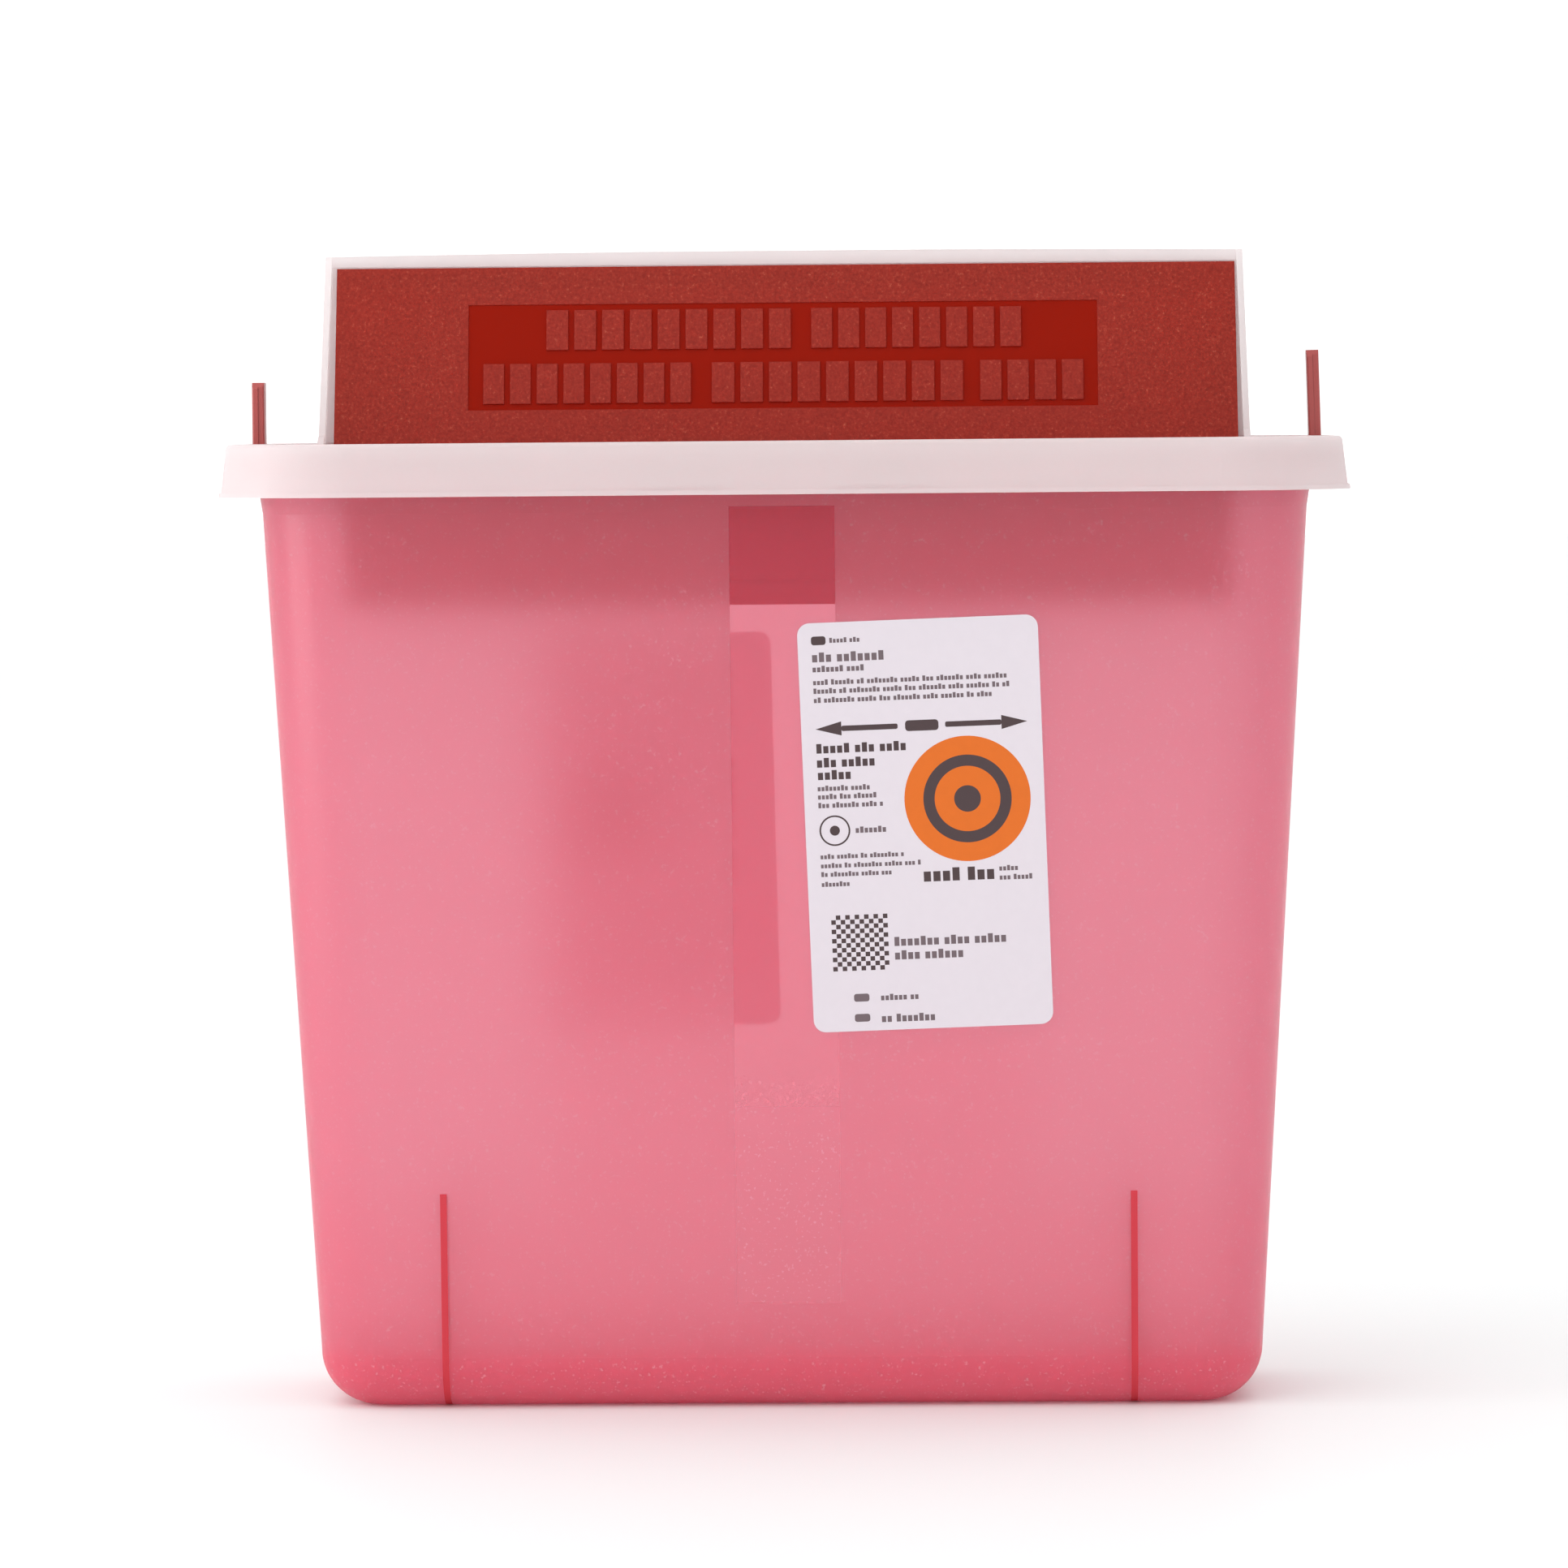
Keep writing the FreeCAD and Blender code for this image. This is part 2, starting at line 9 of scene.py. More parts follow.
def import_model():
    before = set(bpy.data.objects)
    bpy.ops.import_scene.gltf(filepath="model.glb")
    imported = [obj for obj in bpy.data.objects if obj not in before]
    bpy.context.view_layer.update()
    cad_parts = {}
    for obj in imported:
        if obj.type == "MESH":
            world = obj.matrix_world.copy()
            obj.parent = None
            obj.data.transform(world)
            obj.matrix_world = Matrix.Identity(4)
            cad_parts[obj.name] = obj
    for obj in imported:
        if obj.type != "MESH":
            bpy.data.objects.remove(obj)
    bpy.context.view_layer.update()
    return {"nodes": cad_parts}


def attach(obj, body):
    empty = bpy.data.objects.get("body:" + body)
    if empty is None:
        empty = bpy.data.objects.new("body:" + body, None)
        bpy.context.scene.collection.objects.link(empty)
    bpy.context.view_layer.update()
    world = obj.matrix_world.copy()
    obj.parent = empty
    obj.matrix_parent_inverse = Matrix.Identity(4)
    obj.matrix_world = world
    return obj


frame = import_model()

NODES = frame["nodes"]
MM = 0.001

# ---- driving values ------------------------------------------------------------------------------------
# Camera: far away and nearly level with the lid's rim.
CAMERA_DISTANCE = 1.8
CAMERA_HEIGHT = 0.2414
CAMERA_AZIMUTH = 1.491       # degrees towards +X
CAMERA_AIM = (-0.00127, 0.0, 0.14975)
CAMERA_ROLL = 0.488          # degrees
CAMERA_LENS = 167.88
CAMERA_SENSOR = 36.0

# Tub
TUB_HALF_Y = 37.7 * MM
TUB_DRAFT = 0.0565
STRIP_HALF = 12.65 * MM
STRIP_EDGE = (0.05 * MM, 0.01 * MM)   # softness of the strip's sides and ends
STRIP_FADE = (35 * MM, 120 * MM)   # the strip's polish fades out between these heights
STRIP_TOP = 218.9 * MM
STRIP_BOTTOM = 26 * MM
STRIP_ROUGHNESS = (0.25, 0.03)     # below and above the fade
GRAIN_DEPTH = 0.05 * MM      # of the frosted surfaces

TUB_IOR = 1.25
TUB_GRAIN = (2600, 0.12)     # cells of noise per metre, strength of its bump
TUB_CLOUD_SCALE = 14
TUB_ROUGHNESS = (0.46, 0.52)
TUB_COAT = (1.0, 0.2)        # weight on the frosted wall, and in the strip
TUB_COAT_ROUGHNESS = (0.26, 0.05)
TUB_COAT_IOR = 1.5
TUB_ABSORB = (0.94, 0.28, 0.50, 1)
TUB_DENSITY = 222.0          # per metre: a 1.7 mm wall takes about a quarter of the green
TUB_HAZE = (1.0, 0.86, 0.90, 1)
TUB_HAZE_SHARE = 0.30
TUB_VEIL = (0.87, 0.12, 0.19, 1)    # red light scattered back inside the plastic
RIB_VEIL = (0.66, 0.06, 0.08, 1)
PAINTED_GLINT_VEIL = (1.0, 0.55, 0.60, 1)   # painted glints: bright specks on the grains of the frosted surface
PAINTED_GLINT_SCALE = 1300
PAINTED_GLINT_LEVELS = (0.62, 0.70)         # of the grain noise, where the painted glints begin and are full
VEIL_PASSED = 0.2            # share of the veil's light that comes through it
VEIL_SHARE = 0.205           # of each surface, before the changes below
VEIL_IN_STRIP = 0.07
VEIL_AT_BOTTOM = 0.19        # the walls thicken where they turn into the floor
VEIL_BOTTOM_Z = (9 * MM, 17 * MM)
VEIL_AT_PAINTED_SIDE_LIGHT = -0.04        # painted light: less veil on the sides brightens them, in place of light from the end walls
PAINTED_SIDE_LIGHT_X = (72 * MM, 106 * MM, 28 * MM)     # from, to, and how far it fades outside them
PAINTED_SIDE_LIGHT_Z = (60 * MM, 180 * MM, 25 * MM)
RIB_X = 83.5 * MM
RIB_HALF = 0.8 * MM
RIB_TOP = 53 * MM
RIB_VEIL_SHARE = 0.85

# Lid
LID_IOR = 1.35
LID_GRAIN = (1800, 0.10)
LID_CLOUD_SCALE = 20
LID_ROUGHNESS = (0.38, 0.46)
LID_TRANSMISSION = 0.45
LID_SPECULAR = 0.3
LID_HAZE_SHARE = 0.30
LID_LIGHT = (0.935, 0.89, 0.89, 1)
LID_DARK = (0.905, 0.86, 0.86, 1)

# Tray: the pivot and the panel's polished field
PIVOT = (0.0, -24 * MM, 231 * MM)
PANEL_LEAN = math.radians(14)
GLOSS_X = -0.2 * MM           # the field's middle
GLOSS_HALF_WIDTH = 76.55 * MM
GLOSS_CENTRE = 24.65 * MM
GLOSS_HALF_HEIGHT = 13.2 * MM
GLOSS_FLOOR = (0.55 * MM, 0.70 * MM)   # the field's floor is this far out from the panel's middle plane
GLOSS_EDGE = 0.02 * MM
TRAY_GRAIN_SCALE = 1400
TRAY_GRAIN_BUMP = (0.9, 0.16 * MM)     # strength, depth
TRAY_GRAIN_COLOURS = ((0.35, (0.24, 0.013, 0.005, 1)), (0.60, (0.37, 0.030, 0.015, 1)),
                      (0.75, (0.58, 0.14, 0.08, 1)))
TRAY_POLISHED = (0.29, 0.009, 0.0008, 1)
TRAY_ROUGHNESS = (0.42, 0.12)          # grained, polished
TRAY_SPECULAR = (0.26, 0.08)
TRAY_ROUNDED = 0.25 * MM               # small rounding of the edges
TRAY_GLOW = (0.85, 0.10, 0.07, 1)      # the light it passes
TRAY_SHARE = 0.35                      # how much of the light passes

# Lock pins
PIN_LIGHT = (0.45, 0.075, 0.07, 1)
PIN_DARK = (0.38, 0.055, 0.05, 1)
PIN_CLOUD_SCALE = 160
PIN_GRAIN = (900, 0.15)
PIN_ROUGHNESS = (0.28, 0.40)
PIN_ROUNDED = 0.3 * MM
PIN_TRANSMISSION = 0.15
PIN_IOR = 1.49

# Labels: (centre x, centre z, tilt in degrees, faces the rear)
LABELS = {"front_label": (33.85 * MM, 142.2 * MM, 1.9, False),
          "rear_label": (-33.6 * MM, 136.0 * MM, 1.15, True)}
LABEL_OUT = 0.17 * MM        # the label's outer face, out from the wall
INK = 0.02 * MM              # thickness of the print
SHEET_MOTTLE_SCALE = 420
SHEET_GLOW = (0.99, 0.97, 0.98, 1)
SHEET_SPECULAR = 0.3
STOCK_ROUGHNESS = 0.30
INK_ROUGHNESS = 0.38
ROUGHNESS_SPREAD = 0.04
INK_DARKER = 0.92            # the mottle's darker colour, as a share of the ink's
# Label stock: (share of light passed, darker and lighter colour of its mottle). Both labels are the same
# paper; the rear label's stock is lighter and passes more light than the front's, as painted light that lifts
# it out of the shade inside the tub.
STOCKS = {"front_label": (0.05, (0.67, 0.61, 0.66, 1), (0.70, 0.64, 0.69, 1)),
          "rear_label": (0.64, (0.96, 0.93, 0.95, 1), (0.98, 0.95, 0.97, 1))}
INK_SHARES = {"front_label": 0.0, "rear_label": 0.60}     # share of light passed by the print
PRINT_PLACES = {"front_label": (1.0, 0.0), "rear_label": (0.86, 3.0 * MM)}   # scale, shift to one side
INK_BOLD = (72, 56, 58)
INK_SMALL = (108, 93, 98)
INK_ORANGE = (214, 104, 24)
# Print, in millimetres from the label's middle.  A line is (left end, height up, width, letter height).
BOLD_LINES = ((-25.4, 19.2, 21.2, 2.3), (-25.4, 15.8, 14.3, 2.3), (-25.3, 12.8, 8.9, 2.3),
              (-0.9, -12.3, 17.2, 3.2))
SMALL_LINES = ((-21.2, 45.2, 8.5, 1.2), (-25.5, 41.2, 18.1, 2.3), (-25.5, 38.4, 13.8, 1.5),
               (-25.5, 35.2, 47.7, 1.3), (-25.5, 33.1, 46.9, 1.3), (-25.5, 30.9, 42.5, 1.3),
               (-25.5, 9.6, 13.2, 1.3), (-25.5, 7.6, 14.5, 1.3), (-25.5, 5.5, 15.5, 1.3),
               (-16.8, -0.7, 8.9, 1.5), (-25.5, -6.9, 20.3, 1.2), (-25.5, -9.1, 24.2, 1.2),
               (-25.5, -11.2, 17.1, 1.2), (-25.5, -13.6, 8.0, 1.2), (17.3, -11.3, 4.9, 1.3),
               (17.3, -13.5, 8.0, 1.3), (-8.6, -28.1, 27.1, 2.2), (-8.6, -31.4, 18.3, 2.2),
               (-12.4, -41.5, 9.5, 1.5), (-12.4, -46.6, 13.2, 1.9))
SMALL_BARS = ((-18.9, -41.4, 3.7, 1.9), (-18.9, -46.3, 3.7, 1.9))
HEADING_MARK = (-25.6, 45.2, 3.5, 2.1)
LEVEL_BAR = (-3.9, 23.9, 8.0, 2.6)     # the level mark: this bar between two arrows at the same height
ARROW = (25.4, 6.2, 1.7, 5.7, 1.3)     # tip, head length and half height, tail, shaft thickness
RING = (-21.8, -0.7, 3.7, 3.3, 1.2)    # place, outer and inner radius, radius of the dot inside
DISC = (10.35, 5.8, 15.15)
DISC_RING = (10.6, 7.9, 3.2)           # outer and inner radius, radius of the dot inside
CHECKER = (-23.6, -34.8, 13.6, 12)     # left, bottom, size, cells along a side
CHECKER_FILL = 0.96                    # how much of its cell a square fills
WORD_LENGTHS = (5, 3, 7, 4, 6, 2, 8)
LETTER_PITCH = 0.72                    # of the letter height
LETTER_WIDTH = 0.74                    # of the pitch, as the next two are
WORD_GAP = 0.6
LEAST_WORD = 0.7                       # room that another word needs
LOW_LETTER = 0.76                      # of the letter height
BAR_ROUNDING = 0.3                     # corner radius, of a bar's shorter side
CORNER_STEPS = 4                       # points round each corner of a bar

# Studio
FLOOR_LIGHT = (0.80, 0.82, 0.82, 1)
FLOOR_DARK = (0.78, 0.80, 0.80, 1)
FLOOR_ROUGHNESS = 0.6
FLOOR_CLOUD_SCALE = 3.0
FLOOR_HALF = 12.0
WORLD_STRENGTHS = (1.35, 1.10)         # from the left, from the right
LIGHT_AIM = (0, 0, 0.15)
# Each light: name, place, size, power
LIGHTS = (("key", (-0.9, -1.3, 1.5), (1.0, 1.0), 5), ("side", (-1.5, -0.3, 0.45), (0.8, 1.2), 9.5))


# ---- node helpers --------------------------------------------------------------------------------------
class Material:
    """A node material with short calls for the nodes used here."""

    def __init__(self, name):
        self.material = bpy.data.materials.new(name)
        self.material.use_nodes = True
        self.tree = self.material.node_tree
        self.tree.nodes.clear()
        self.output = self.add("ShaderNodeOutputMaterial")
        self.coords = self.add("ShaderNodeTexCoord")

    def add(self, kind, **settings):
        node = self.tree.nodes.new(kind)
        for key, value in settings.items():
            setattr(node, key, value)
        return node

    def link(self, source, target):
        self.tree.links.new(source, target)

    def feed(self, value, socket):
        if isinstance(value, bpy.types.NodeSocket):
            self.link(value, socket)
        else:
            socket.default_value = value

    def math(self, operation, a, b=0.0):
        node = self.add("ShaderNodeMath", operation=operation)
        self.feed(a, node.inputs[0])
        self.feed(b, node.inputs[1])
        return node.outputs[0]

    def object_axes(self):
        split = self.add("ShaderNodeSeparateXYZ")
        self.link(self.coords.outputs["Object"], split.inputs[0])
        return split.outputs

    def band(self, value, low, high, soft):
        """1 between low and high, falling to 0 over the distance soft outside them."""
        up = self.limits(value, low - soft, low, interpolation_type="SMOOTHSTEP")
        down = self.limits(value, high, high + soft, interpolation_type="SMOOTHSTEP")
        return self.math("MULTIPLY", up, self.math("SUBTRACT", 1.0, down))

    def noise(self, scale, detail=2.0, roughness=0.5):
        """Noise of this many cells per metre."""
        node = self.add("ShaderNodeTexNoise")
        node.inputs["Scale"].default_value = scale
        node.inputs["Detail"].default_value = detail
        node.inputs["Roughness"].default_value = roughness
        self.link(self.coords.outputs["Object"], node.inputs["Vector"])
        return node.outputs["Fac"]

    def blend(self, factor, a, b):
        """Colour a at factor 0, colour b at 1."""
        node = self.add("ShaderNodeMix", data_type="RGBA")
        self.feed(factor, node.inputs["Factor"])
        self.feed(a, node.inputs[6])
        self.feed(b, node.inputs[7])
        return node.outputs[2]

    def span(self, value, low, high):
        """Maps a 0 to 1 value to low to high."""
        node = self.add("ShaderNodeMapRange")
        self.feed(value, node.inputs["Value"])
        node.inputs["To Min"].default_value = low
        node.inputs["To Max"].default_value = high
        return node.outputs[0]

    def mix(self, factor, a, b):
        """Value a at factor 0, value b at 1."""
        node = self.add("ShaderNodeMix")
        self.feed(factor, node.inputs[0])
        self.feed(a, node.inputs[2])
        self.feed(b, node.inputs[3])
        return node.outputs[0]

    def bump(self, height, strength, distance, rounded_edges=0.0):
        node = self.add("ShaderNodeBump")
        if rounded_edges:
            edges = self.add("ShaderNodeBevel", samples=4)
            edges.inputs["Radius"].default_value = rounded_edges
            self.link(edges.outputs[0], node.inputs["Normal"])
        self.feed(height, node.inputs["Height"])
        self.feed(strength, node.inputs["Strength"])
        node.inputs["Distance"].default_value = distance
        return node.outputs[0]

    def ramp(self, value, stops):
        """A colour ramp with these (position, colour) stops, two or more in rising order."""
        node = self.add("ShaderNodeValToRGB")
        elements = node.color_ramp.elements
        for element, (position, colour) in zip((elements[0], elements[1]), stops):
            element.position = position
            element.color = colour
        for position, colour in stops[2:]:
            elements.new(position).color = colour
        self.link(value, node.inputs[0])
        return node.outputs[0]

    def limits(self, value, low, high, **settings):
        """0 at value low to 1 at value high, held outside them."""
        node = self.add("ShaderNodeMapRange", **settings)
        self.feed(value, node.inputs["Value"])
        node.inputs["From Min"].default_value = low
        node.inputs["From Max"].default_value = high
        return node.outputs[0]

    def translucent(self, colour):
        node = self.add("ShaderNodeBsdfTranslucent")
        self.feed(colour, node.inputs["Color"])
        return node.outputs[0]

    def principled(self, **inputs):
        node = self.add("ShaderNodeBsdfPrincipled")
        for key, value in inputs.items():
            self.feed(value, node.inputs[key.replace("_", " ")])
        return node.outputs[0]

    def mix_shader(self, factor, a, b):
        """Shader a at factor 0, shader b at 1."""
        node = self.add("ShaderNodeMixShader")
        self.feed(factor, node.inputs[0])
        self.link(a, node.inputs[1])
        self.link(b, node.inputs[2])
        return node.outputs[0]

    def finish(self, shader):
        self.link(shader, self.output.inputs["Surface"])
        return self.material


def rgb(r, g, b):
    """A colour given as 8-bit sRGB, as the linear values the shaders take."""
    def linear(v):
        v /= 255
        return v / 12.92 if v <= 0.04045 else ((v + 0.055) / 1.055) ** 2.4
    return (linear(r), linear(g), linear(b), 1.0)


# ---- materials -----------------------------------------------------------------------------------------
def tub_material():
    """Red translucent moulding, frosted all over but in the front wall's viewing strip."""
    m = Material("tub_translucent_red")
    x, y, z = m.object_axes()
    across_strip = m.band(x, -STRIP_HALF, STRIP_HALF, STRIP_EDGE[0])
    mask = m.math("MULTIPLY", across_strip, m.math("LESS_THAN", y, 0.0))
    mask = m.math("MULTIPLY", mask, m.band(z, STRIP_BOTTOM, STRIP_TOP, STRIP_EDGE[1]))
    fade = m.limits(z, *STRIP_FADE, interpolation_type="SMOOTHSTEP")
    strip = m.math("MULTIPLY", mask, fade)
    frosting = m.math("SUBTRACT", 1.0, strip)

    # clear plastic under its frosting, with a thin coat that carries the highlights
    grain = m.noise(TUB_GRAIN[0], 3.0)
    cloud = m.noise(TUB_CLOUD_SCALE, 3.0)
    roughness = m.mix(mask, m.span(cloud, *TUB_ROUGHNESS), m.mix(fade, *STRIP_ROUGHNESS))
    bump = m.bump(grain, m.math("MULTIPLY", frosting, TUB_GRAIN[1]), GRAIN_DEPTH)
    wall = m.principled(Base_Color=(1, 1, 1, 1), Roughness=roughness, Transmission_Weight=1.0, IOR=TUB_IOR,
                        Normal=bump, Coat_Weight=m.mix(strip, *TUB_COAT), Coat_IOR=TUB_COAT_IOR,
                        Coat_Roughness=m.mix(strip, *TUB_COAT_ROUGHNESS))
    haze_share = m.math("MULTIPLY", frosting, TUB_HAZE_SHARE)
    clear = m.mix_shader(haze_share, wall, m.translucent(TUB_HAZE))

    # the veil: red light scattered back, with painted glints in the frosting and dense ribs
    from_middle = m.math("ABSOLUTE", x)
    from_rib = m.math("ABSOLUTE", m.math("SUBTRACT", from_middle, RIB_X))
    rib = m.math("MULTIPLY", m.math("LESS_THAN", from_rib, RIB_HALF), m.math("LESS_THAN", z, RIB_TOP))
    # painted glints: where the grain noise peaks, the veil colour turns bright pink
    spark = m.limits(m.noise(PAINTED_GLINT_SCALE, 2.0), *PAINTED_GLINT_LEVELS)
    frosted_veil = m.blend(m.math("MULTIPLY", spark, frosting), TUB_VEIL, PAINTED_GLINT_VEIL)
    veil_colour = m.blend(rib, frosted_veil, RIB_VEIL)
    back = m.add("ShaderNodeBsdfDiffuse")
    m.link(veil_colour, back.inputs["Color"])
    veil = m.mix_shader(VEIL_PASSED, back.outputs[0], m.translucent(veil_colour))
    bottom = m.band(z, -1.0, VEIL_BOTTOM_Z[0], VEIL_BOTTOM_Z[1] - VEIL_BOTTOM_Z[0])
    # painted light: the band on the sides where the veil thins so that they look brighter
    sides = m.math("MULTIPLY", m.band(from_middle, *PAINTED_SIDE_LIGHT_X), m.band(z, *PAINTED_SIDE_LIGHT_Z))
    share = VEIL_SHARE
    for place, change in ((strip, VEIL_IN_STRIP), (bottom, VEIL_AT_BOTTOM), (sides, VEIL_AT_PAINTED_SIDE_LIGHT)):
        share = m.math("ADD", share, m.math("MULTIPLY", place, change))
    surface = m.mix_shader(m.mix(rib, share, RIB_VEIL_SHARE), clear, veil)

    absorb = m.add("ShaderNodeVolumeAbsorption")
    absorb.inputs["Color"].default_value = TUB_ABSORB
    absorb.inputs["Density"].default_value = TUB_DENSITY
    m.link(absorb.outputs[0], m.output.inputs["Volume"])
    return m.finish(surface)


def lid_material():
    """Frosted white moulding that lets some light through."""
    m = Material("lid_frosted_white")
    grain = m.noise(LID_GRAIN[0], 2.0)
    cloud = m.noise(LID_CLOUD_SCALE, 3.0)
    colour = m.blend(cloud, LID_LIGHT, LID_DARK)
    wall = m.principled(Base_Color=colour, Roughness=m.span(cloud, *LID_ROUGHNESS), IOR=LID_IOR,
                        Transmission_Weight=LID_TRANSMISSION, Specular_IOR_Level=LID_SPECULAR,
                        Normal=m.bump(grain, LID_GRAIN[1], GRAIN_DEPTH))
    return m.finish(m.mix_shader(LID_HAZE_SHARE, wall, m.translucent(colour)))


def polished_field(m):
    """1 on the floor of the panel's polished field, 0 on the rest of the tray and on the raised blocks."""
    x, y, z = m.object_axes()
    back_y = m.math("SUBTRACT", y, PIVOT[1])
    up_z = m.math("SUBTRACT", z, PIVOT[2])
    sin_lean, cos_lean = math.sin(PANEL_LEAN), math.cos(PANEL_LEAN)
    along = m.math("ADD", m.math("MULTIPLY", back_y, sin_lean), m.math("MULTIPLY", up_z, cos_lean))
    out = m.math("SUBTRACT", m.math("MULTIPLY", up_z, sin_lean), m.math("MULTIPLY", back_y, cos_lean))
    across = m.band(x, GLOSS_X - GLOSS_HALF_WIDTH, GLOSS_X + GLOSS_HALF_WIDTH, GLOSS_EDGE)
    up = m.band(along, GLOSS_CENTRE - GLOSS_HALF_HEIGHT, GLOSS_CENTRE + GLOSS_HALF_HEIGHT, GLOSS_EDGE)
    return m.math("MULTIPLY", m.math("MULTIPLY", across, up), m.band(out, *GLOSS_FLOOR, GLOSS_EDGE))


def tray_material():
    """Red with a fine spark-eroded grain and a polished field; it glows a little with the light behind it."""
    m = Material("tray_grained_red")
    polished = polished_field(m)
    grain = m.noise(TRAY_GRAIN_SCALE, 4.0, 0.7)
    colour = m.blend(polished, m.ramp(grain, TRAY_GRAIN_COLOURS), TRAY_POLISHED)
    strength, depth = TRAY_GRAIN_BUMP
    strength = m.math("MULTIPLY", m.math("SUBTRACT", 1.0, polished), strength)
    face = m.principled(Base_Color=colour, Roughness=m.mix(polished, *TRAY_ROUGHNESS),
                        Specular_IOR_Level=m.mix(polished, *TRAY_SPECULAR),
                        Normal=m.bump(grain, strength, depth, rounded_edges=TRAY_ROUNDED))
    return m.finish(m.mix_shader(TRAY_SHARE, face, m.translucent(TRAY_GLOW)))


def pin_material():
    """Red moulding that is slightly translucent at its edges."""
    m = Material("pin_red")
    cloud = m.noise(PIN_CLOUD_SCALE, 3.0)
    bump = m.bump(m.noise(PIN_GRAIN[0], 2.0), PIN_GRAIN[1], GRAIN_DEPTH, rounded_edges=PIN_ROUNDED)
    return m.finish(m.principled(Base_Color=m.blend(cloud, PIN_LIGHT, PIN_DARK), Normal=bump,
                                 Roughness=m.span(cloud, *PIN_ROUGHNESS),
                                 Transmission_Weight=PIN_TRANSMISSION, IOR=PIN_IOR))


def sheet_material(name, darker, lighter, roughness, share):
    """Ink or label stock: a faintly mottled sheet that passes this share of the light from behind."""
    m = Material(name)
    mottle = m.noise(SHEET_MOTTLE_SCALE, 3.0)
    face = m.principled(Base_Color=m.blend(mottle, darker, lighter), Specular_IOR_Level=SHEET_SPECULAR,
                        Roughness=m.span(mottle, roughness - ROUGHNESS_SPREAD, roughness + ROUGHNESS_SPREAD))
    return m.finish(m.mix_shader(share, face, m.translucent(SHEET_GLOW)))


def ink_material(name, colour, share):
    lighter = rgb(*colour)
    darker = tuple(c * INK_DARKER for c in lighter[:3]) + (1.0,)
    return sheet_material(name, darker, lighter, INK_ROUGHNESS, share)


def floor_material():
    m = Material("floor_pale")
    cloud = m.noise(FLOOR_CLOUD_SCALE, 2.0)
    return m.finish(m.principled(Base_Color=m.blend(cloud, FLOOR_DARK, FLOOR_LIGHT),
                                 Roughness=FLOOR_ROUGHNESS))


def assign(obj, material):
    obj.data.materials.clear()
    obj.data.materials.append(material)


def mesh_object(name, mesh, material):
    """A new object in the scene from a bmesh, which is freed."""
    data = bpy.data.meshes.new(name)
    mesh.to_mesh(data)
    mesh.free()
    obj = bpy.data.objects.new(name, data)
    bpy.context.scene.collection.objects.link(obj)
    assign(obj, material)
    return obj


# ---- label printing ------------------------------------------------------------------------------------
def circle(radius, sides):
    """Points round a circle about 0, 0."""
    turns = [2 * math.pi * k / sides for k in range(sides)]
    return [(radius * math.cos(a), radius * math.sin(a)) for a in turns]


class Print:
    """Flat ink shapes on one label, in one mesh.  Places are millimetres from the label's middle."""

    def __init__(self, label, name, material, lift=0.0):
        centre_x, centre_z, tilt, rear = LABELS[label]
        self.name, self.material = name, material
        self.mesh = bmesh.new()
        wall = TUB_HALF_Y + TUB_DRAFT * centre_z
        side = -1 if rear else 1
        place = Matrix.Rotation(math.pi if rear else 0.0, 4, "Z")
        place = place @ Matrix.Translation((side * centre_x, -wall, centre_z))
        place = place @ Matrix.Rotation(math.radians(90) + math.atan(TUB_DRAFT), 4, "X")
        place = place @ Matrix.Rotation(math.radians(side * tilt), 4, "Z")
        scale, shift = PRINT_PLACES[label]
        place = place @ Matrix.Translation((shift, 0, LABEL_OUT + lift))
        self.place = place @ Matrix.Diagonal((scale, scale, 1, 1))

    def prism(self, outline):
        """A thin plate from a counter-clockwise outline."""
        low = [self.mesh.verts.new((x * MM, y * MM, 0)) for x, y in outline]
        high = [self.mesh.verts.new((x * MM, y * MM, INK)) for x, y in outline]
        self.mesh.faces.new(high)
        self.mesh.faces.new(low[::-1])
        for i in range(len(outline)):
            j = (i + 1) % len(outline)
            self.mesh.faces.new((low[i], low[j], high[j], high[i]))

    def rectangle(self, x, y, width, height):
        """A plain rectangle with its lower left corner at x, y."""
        self.prism([(x, y), (x + width, y), (x + width, y + height), (x, y + height)])

    def bar(self, x, y, width, height):
        """A bar with its left end at x and its middle at height y, with slightly rounded ends."""
        r = min(width, height) * BAR_ROUNDING
        corners = ((x + width - r, y + height / 2 - r, 0), (x + r, y + height / 2 - r, 90),
                   (x + r, y - height / 2 + r, 180), (x + width - r, y - height / 2 + r, 270))
        outline = []
        for cx, cy, start in corners:
            for step in range(CORNER_STEPS):
                a = math.radians(start + 90 * step / (CORNER_STEPS - 1))
                outline.append((cx + r * math.cos(a), cy + r * math.sin(a)))
        self.prism(outline)

    def disc(self, x, y, radius, sides=72):
        self.prism([(x + dx, y + dy) for dx, dy in circle(radius, sides)])

    def ring(self, x, y, outer, inner, sides=72):
        loops = []
        for radius, z in ((outer, 0), (outer, INK), (inner, INK), (inner, 0)):
            loops.append([self.mesh.verts.new(((x + dx) * MM, (y + dy) * MM, z))
                          for dx, dy in circle(radius, sides)])
        for a, b in zip(loops, loops[1:] + loops[:1]):
            for k in range(sides):
                j = (k + 1) % sides
                self.mesh.faces.new((a[k], a[j], b[j], b[k]))

    def done(self):
        self.mesh.transform(self.place)
        obj = mesh_object(self.name, self.mesh, self.material)
        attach(obj, "container")


def greeked_line(sheet, x, y, width, height, first_word):
    """A line of print as plain blocks in place of letters, in words of different lengths."""
    pitch = height * LETTER_PITCH
    end = x + width
    word = first_word
    while x + pitch * LEAST_WORD < end:
        length = min(WORD_LENGTHS[word % len(WORD_LENGTHS)], round((end - x) / pitch))
        for k in range(max(length, 1)):
            tall = (k * 3 + word) % 4 == 0
            letter = height if tall else height * LOW_LETTER
            sheet.rectangle(x, y - height / 2, pitch * LETTER_WIDTH, letter)
            x += pitch
        x += pitch * WORD_GAP
        word += 1


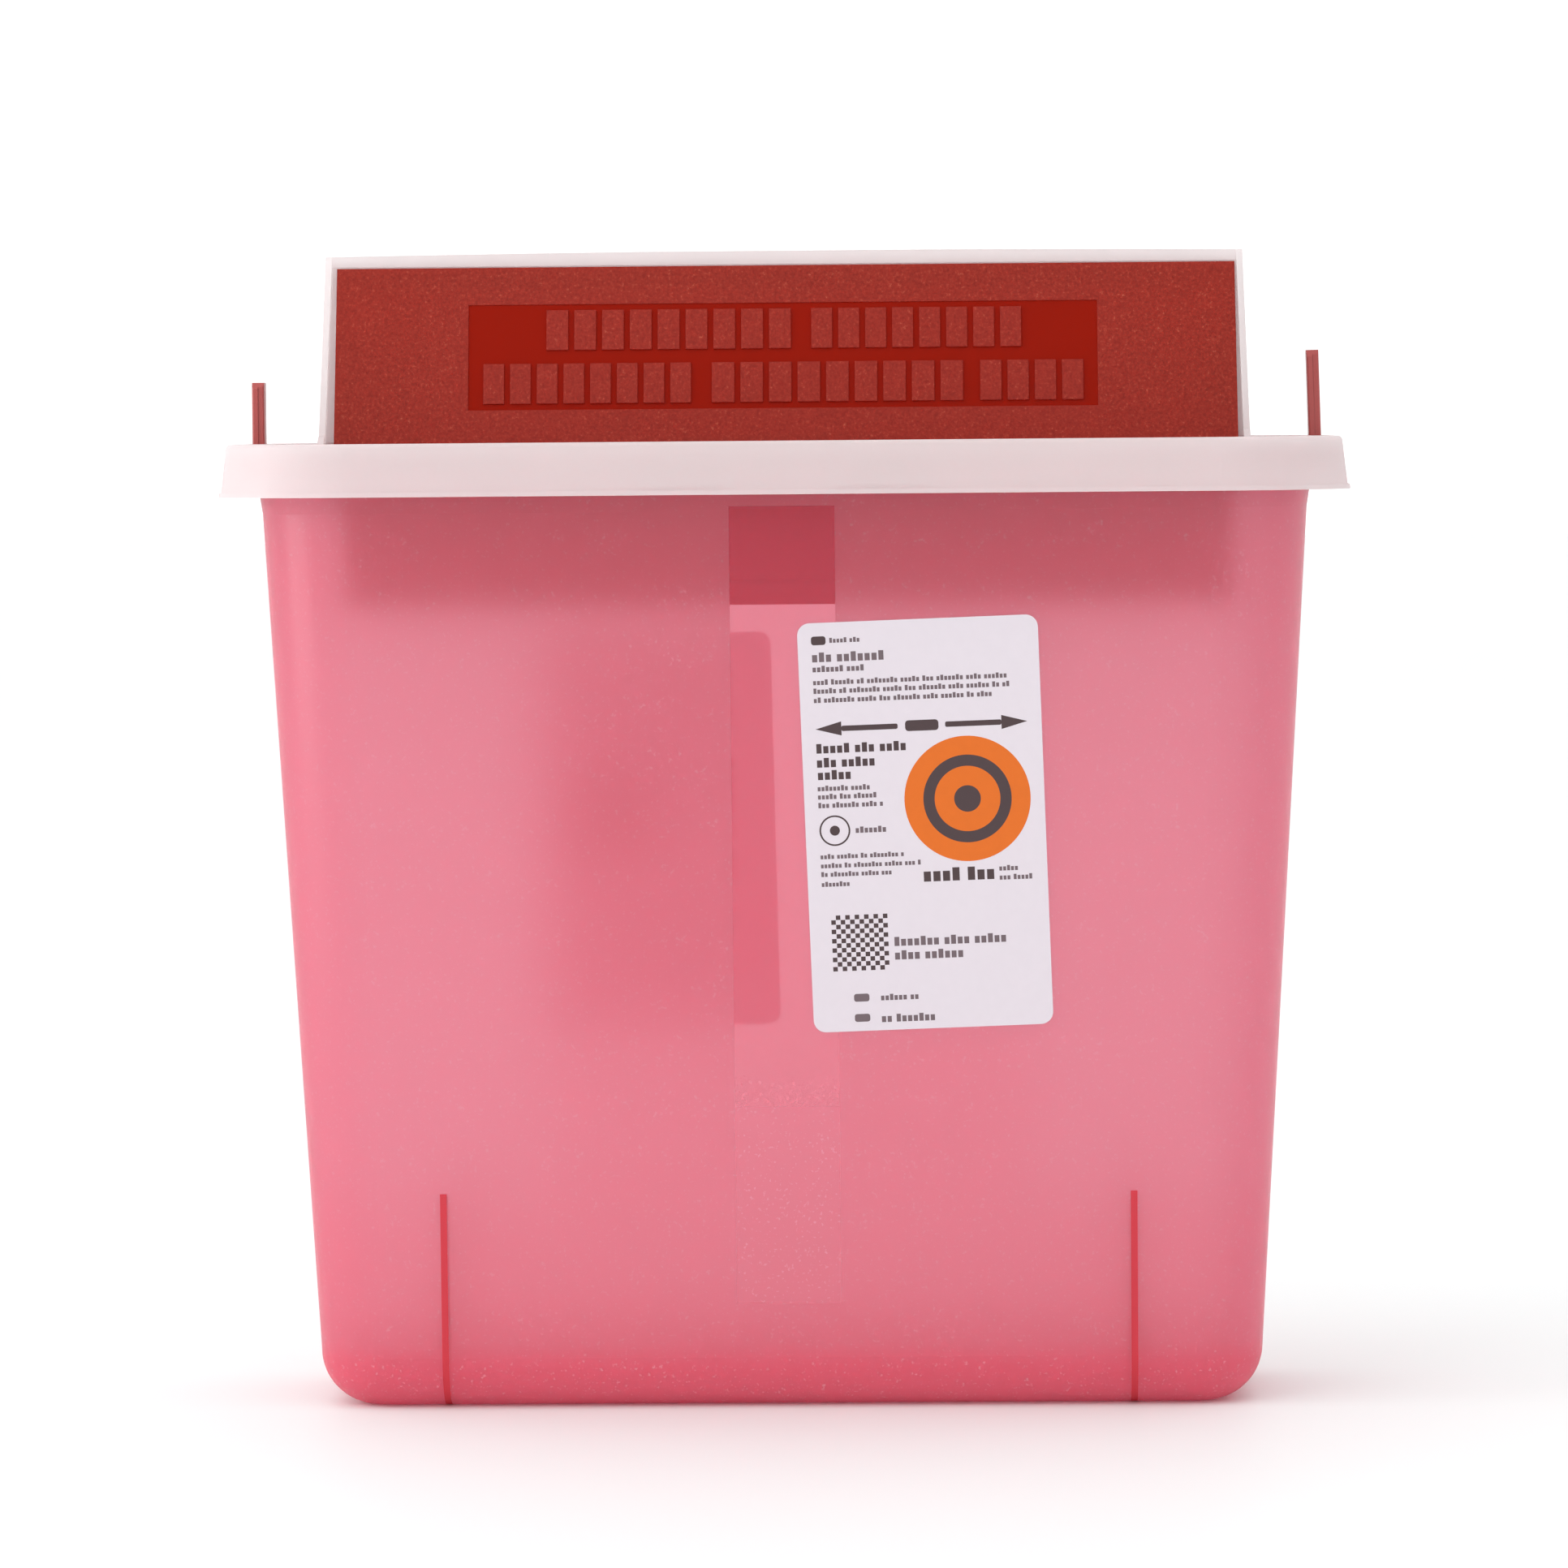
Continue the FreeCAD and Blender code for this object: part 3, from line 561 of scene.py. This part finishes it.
def level_mark(sheet):
    """A bar between two arrows that point to the label's sides."""
    y = LEVEL_BAR[1]
    tip, head, half_height, tail, shaft = ARROW
    for side in (-1, 1):
        sheet.prism([(side * tip, y), (side * (tip - head), y + side * half_height),
                     (side * (tip - head), y - side * half_height)])
        sheet.bar(min(side * tail, side * (tip - head)), y, tip - head - tail, shaft)
    sheet.bar(*LEVEL_BAR)


def checker(sheet):
    left, bottom, size, cells = CHECKER
    cell = size / cells
    for i in range(cells):
        for j in range(cells):
            if (i + j) % 2 == 0:
                sheet.rectangle(left + i * cell, bottom + j * cell, cell * CHECKER_FILL, cell * CHECKER_FILL)


def print_label(label):
    share = INK_SHARES[label]
    bold = Print(label, label + "_bold_print", ink_material(label + "_ink_bold", INK_BOLD, share))
    small = Print(label, label + "_small_print", ink_material(label + "_ink_small", INK_SMALL, share))
    orange = Print(label, label + "_orange_disc", ink_material(label + "_ink_orange", INK_ORANGE, share),
                   -INK * 0.5)
    for sheet, lines in ((bold, BOLD_LINES), (small, SMALL_LINES)):
        for i, (x, y, width, height) in enumerate(lines):
            greeked_line(sheet, x, y, width, height, i)
    for place in SMALL_BARS:
        small.bar(*place)
    bold.bar(*HEADING_MARK)
    level_mark(bold)
    x, y, outer, inner, dot = RING
    bold.ring(x, y, outer, inner)
    bold.disc(x, y, dot)
    checker(bold)
    # round orange mark, lying half as proud as the dark print, with a plain ring and dot on it
    x, y, radius = DISC
    outer, inner, dot = DISC_RING
    bold.ring(x, y, outer, inner)
    bold.disc(x, y, dot)
    orange.disc(x, y, radius, 96)
    for sheet in (bold, small, orange):
        sheet.done()


# ---- studio --------------------------------------------------------------------------------------------
def floor():
    mesh = bmesh.new()
    bmesh.ops.create_grid(mesh, x_segments=8, y_segments=8, size=FLOOR_HALF)
    obj = mesh_object("studio_floor", mesh, floor_material())


def area_light(name, place, size, power):
    light = bpy.data.lights.new(name, "AREA")
    light.shape = "RECTANGLE"
    light.size, light.size_y = size
    light.energy = power
    obj = bpy.data.objects.new(name, light)
    bpy.context.scene.collection.objects.link(obj)
    obj.location = place
    obj.rotation_euler = (Vector(LIGHT_AIM) - Vector(place)).to_track_quat("-Z", "Y").to_euler()


def world(left, right):
    """White surroundings, brighter on the left than on the right."""
    w = bpy.data.worlds.new("studio_world")
    w.use_nodes = True
    tree = w.node_tree
    direction = tree.nodes.new("ShaderNodeTexCoord")
    split = tree.nodes.new("ShaderNodeSeparateXYZ")
    level = tree.nodes.new("ShaderNodeMapRange")
    level.inputs["From Min"].default_value = -1.0
    level.inputs["To Min"].default_value = left
    level.inputs["To Max"].default_value = right
    tree.links.new(direction.outputs["Generated"], split.inputs[0])
    tree.links.new(split.outputs["X"], level.inputs["Value"])
    tree.links.new(level.outputs[0], tree.nodes["Background"].inputs["Strength"])
    tree.nodes["Background"].inputs["Color"].default_value = (1, 1, 1, 1)
    bpy.context.scene.world = w


def camera():
    data = bpy.data.cameras.new("camera")
    data.lens = CAMERA_LENS
    data.sensor_width = CAMERA_SENSOR
    data.clip_end = 100
    obj = bpy.data.objects.new("camera", data)
    bpy.context.scene.collection.objects.link(obj)
    azimuth, roll = math.radians(CAMERA_AZIMUTH), math.radians(CAMERA_ROLL)
    eye = Vector((CAMERA_DISTANCE * math.sin(azimuth), -CAMERA_DISTANCE * math.cos(azimuth), CAMERA_HEIGHT))
    forward = (Vector(CAMERA_AIM) - eye).normalized()
    right = forward.cross(Vector((0, 0, 1))).normalized()
    up = right.cross(forward)
    turned_right = right * math.cos(roll) - up * math.sin(roll)
    turned_up = right * math.sin(roll) + up * math.cos(roll)
    turn = Matrix((turned_right, turned_up, -forward)).transposed().to_4x4()
    obj.matrix_world = Matrix.Translation(eye) @ turn
    bpy.context.scene.camera = obj


# ---- scene ---------------------------------------------------------------------------------------------
assign(NODES["container_body"], tub_material())
assign(NODES["lid"], lid_material())
assign(NODES["drop_tray"], tray_material())
pin_red = pin_material()
assign(NODES["lock_pin_left"], pin_red)
assign(NODES["lock_pin_right"], pin_red)
for label_name, (stock_share, stock_dark, stock_light) in STOCKS.items():
    assign(NODES[label_name], sheet_material(label_name + "_stock", stock_dark, stock_light, STOCK_ROUGHNESS,
                                             stock_share))
    print_label(label_name)

floor()
world(*WORLD_STRENGTHS)
for light in LIGHTS:
    area_light(*light)
camera()
bpy.context.scene.view_settings.view_transform = "Standard"
bpy.context.scene.cycles.max_bounces = 24
bpy.context.scene.cycles.transmission_bounces = 16
